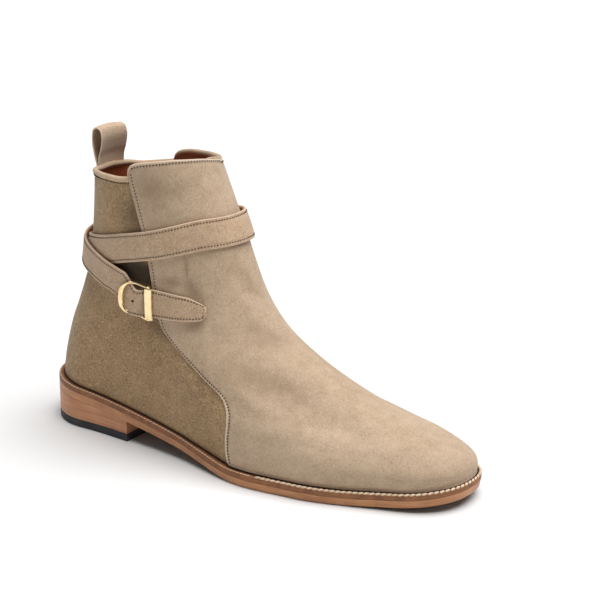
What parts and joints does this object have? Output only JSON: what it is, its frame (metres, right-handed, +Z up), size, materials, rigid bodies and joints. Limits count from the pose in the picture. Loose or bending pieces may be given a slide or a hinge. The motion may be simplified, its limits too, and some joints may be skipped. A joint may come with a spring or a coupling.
{
  "type": "strap boot",
  "caption": "Low suede ankle boot for the right foot, with a buckled strap wound round the ankle, a pull loop, a welted leather sole and a low stacked heel.",
  "frame": {"origin": "middle of the sole's footprint, on the floor that the boot stands on", "axes": "+X from heel to toe, +Y to the inner side of the foot, +Z up"},
  "size_m": [0.298, 0.1014, 0.1908],
  "materials": {
    "suede": "sand suede with a brushed nap",
    "sole_leather": "tan sole leather, waxed edge",
    "welt_leather": "dark brown leather, stitched",
    "heel_rubber": "matt charcoal",
    "lining_leather": "cognac lining leather",
    "gold_metal": "polished pale gold"
  },
  "bodies": {
    "root": {"heel_top_piece": "heel_rubber", "heel_stack": "sole_leather", "outsole": "sole_leather", "welt": "welt_leather", "insole": "lining_leather", "upper": "suede", "vamp": "suede", "strap": "suede", "buckle": "gold_metal", "pull_loop": "suede"}
  },
  "joints": []
}
